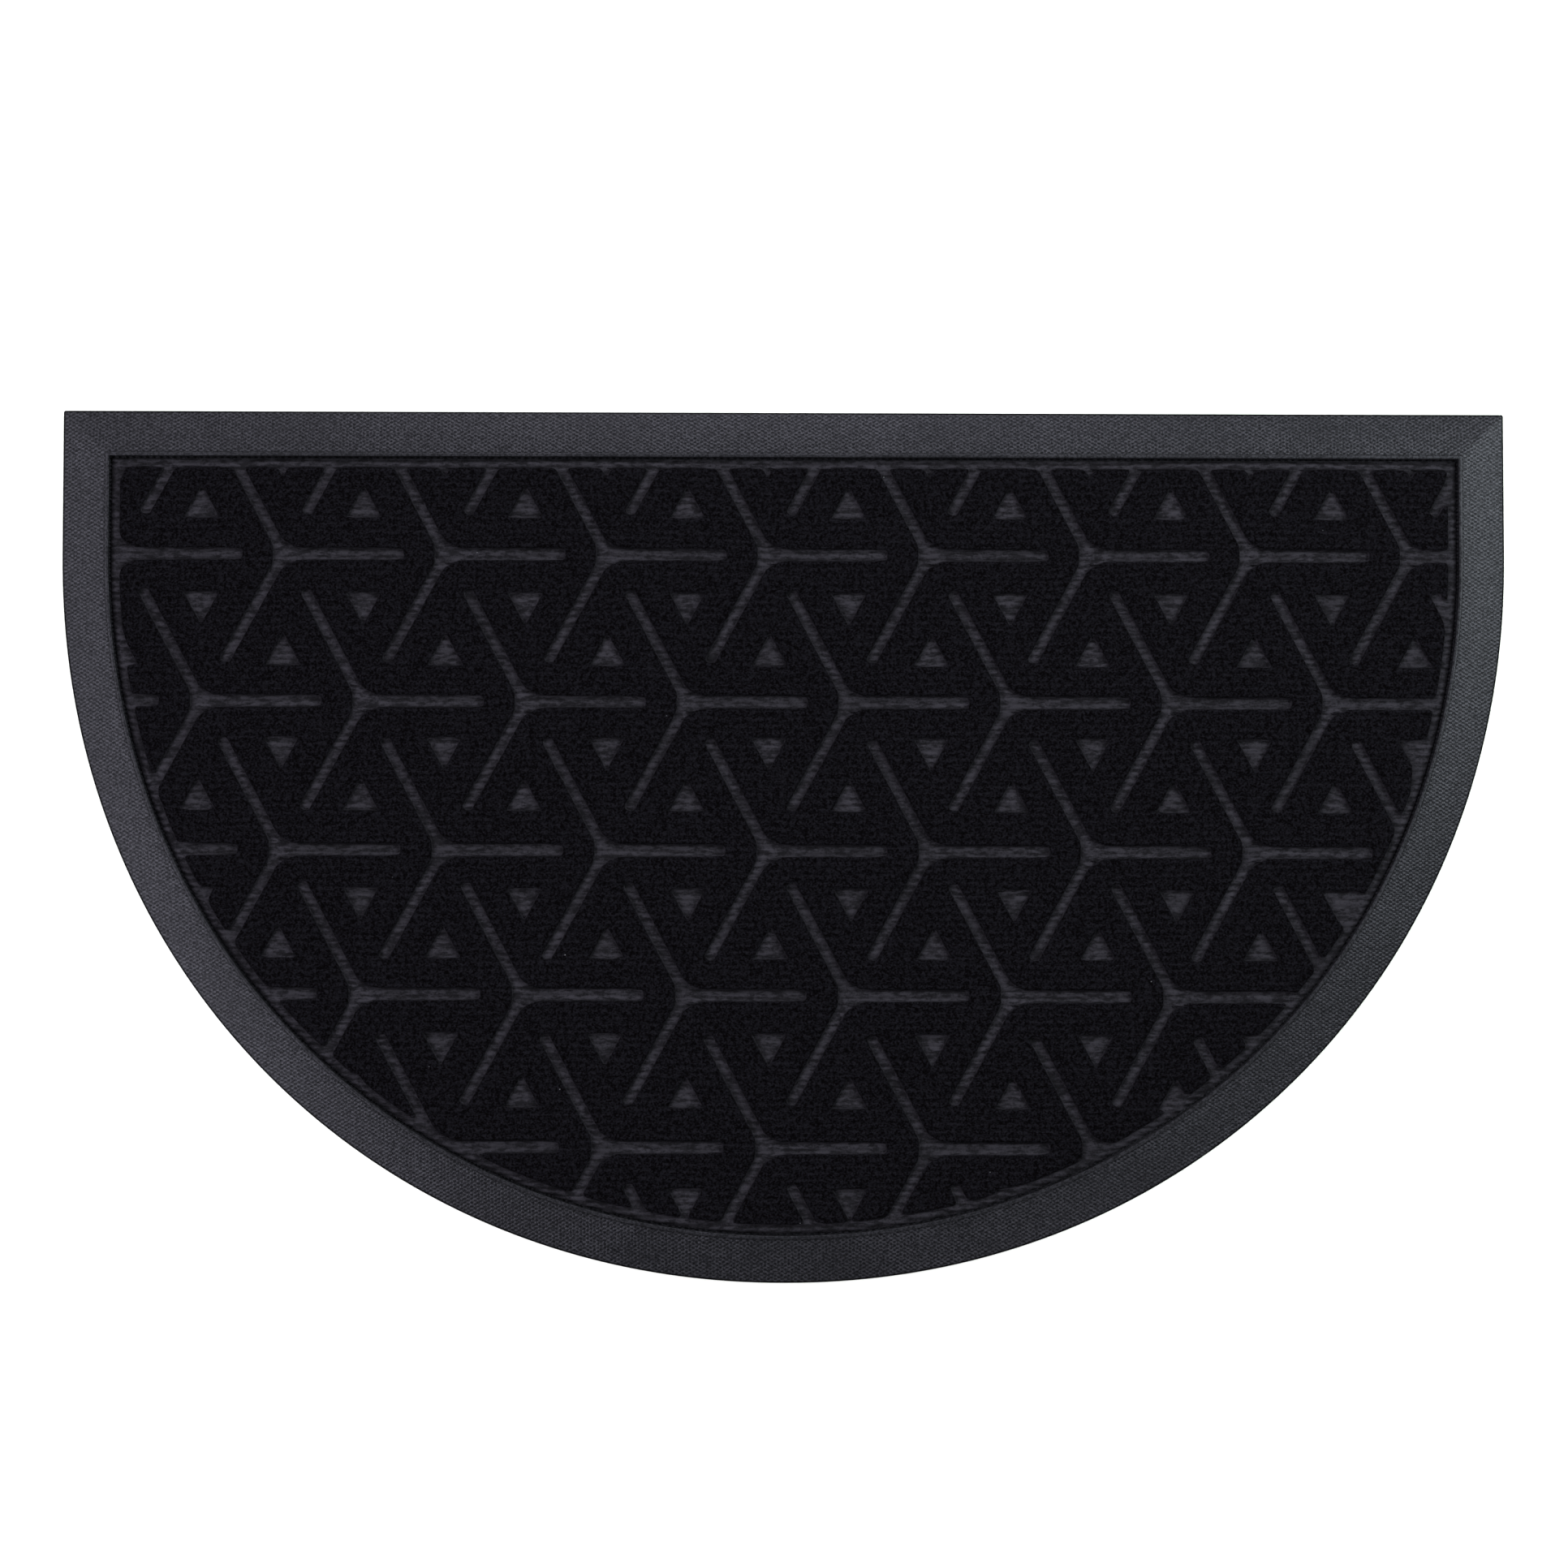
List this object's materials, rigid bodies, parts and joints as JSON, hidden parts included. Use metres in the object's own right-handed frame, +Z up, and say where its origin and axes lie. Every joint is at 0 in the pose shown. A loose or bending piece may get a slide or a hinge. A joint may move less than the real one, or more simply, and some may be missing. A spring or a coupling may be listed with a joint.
{
  "type": "half round doormat",
  "caption": "Half round doormat: a black ribbed carpet pressed with stars and triangles, lying in a moulded rubber tray with a bevelled border.",
  "frame": {"origin": "middle of the mat's underside, half way along its width and its depth", "axes": "+X along the straight edge to the right as seen from above with the round edge nearest, +Y towards the straight edge, +Z up out of the pile"},
  "size_m": [0.76, 0.457, 0.0078],
  "materials": {
    "rubber": "matte, finely dimpled",
    "carpet": "ribbed needle-punched pile, pressed flat in places"
  },
  "bodies": {
    "root": {"rubber_base": "rubber", "carpet_inlay": "carpet"}
  },
  "joints": []
}
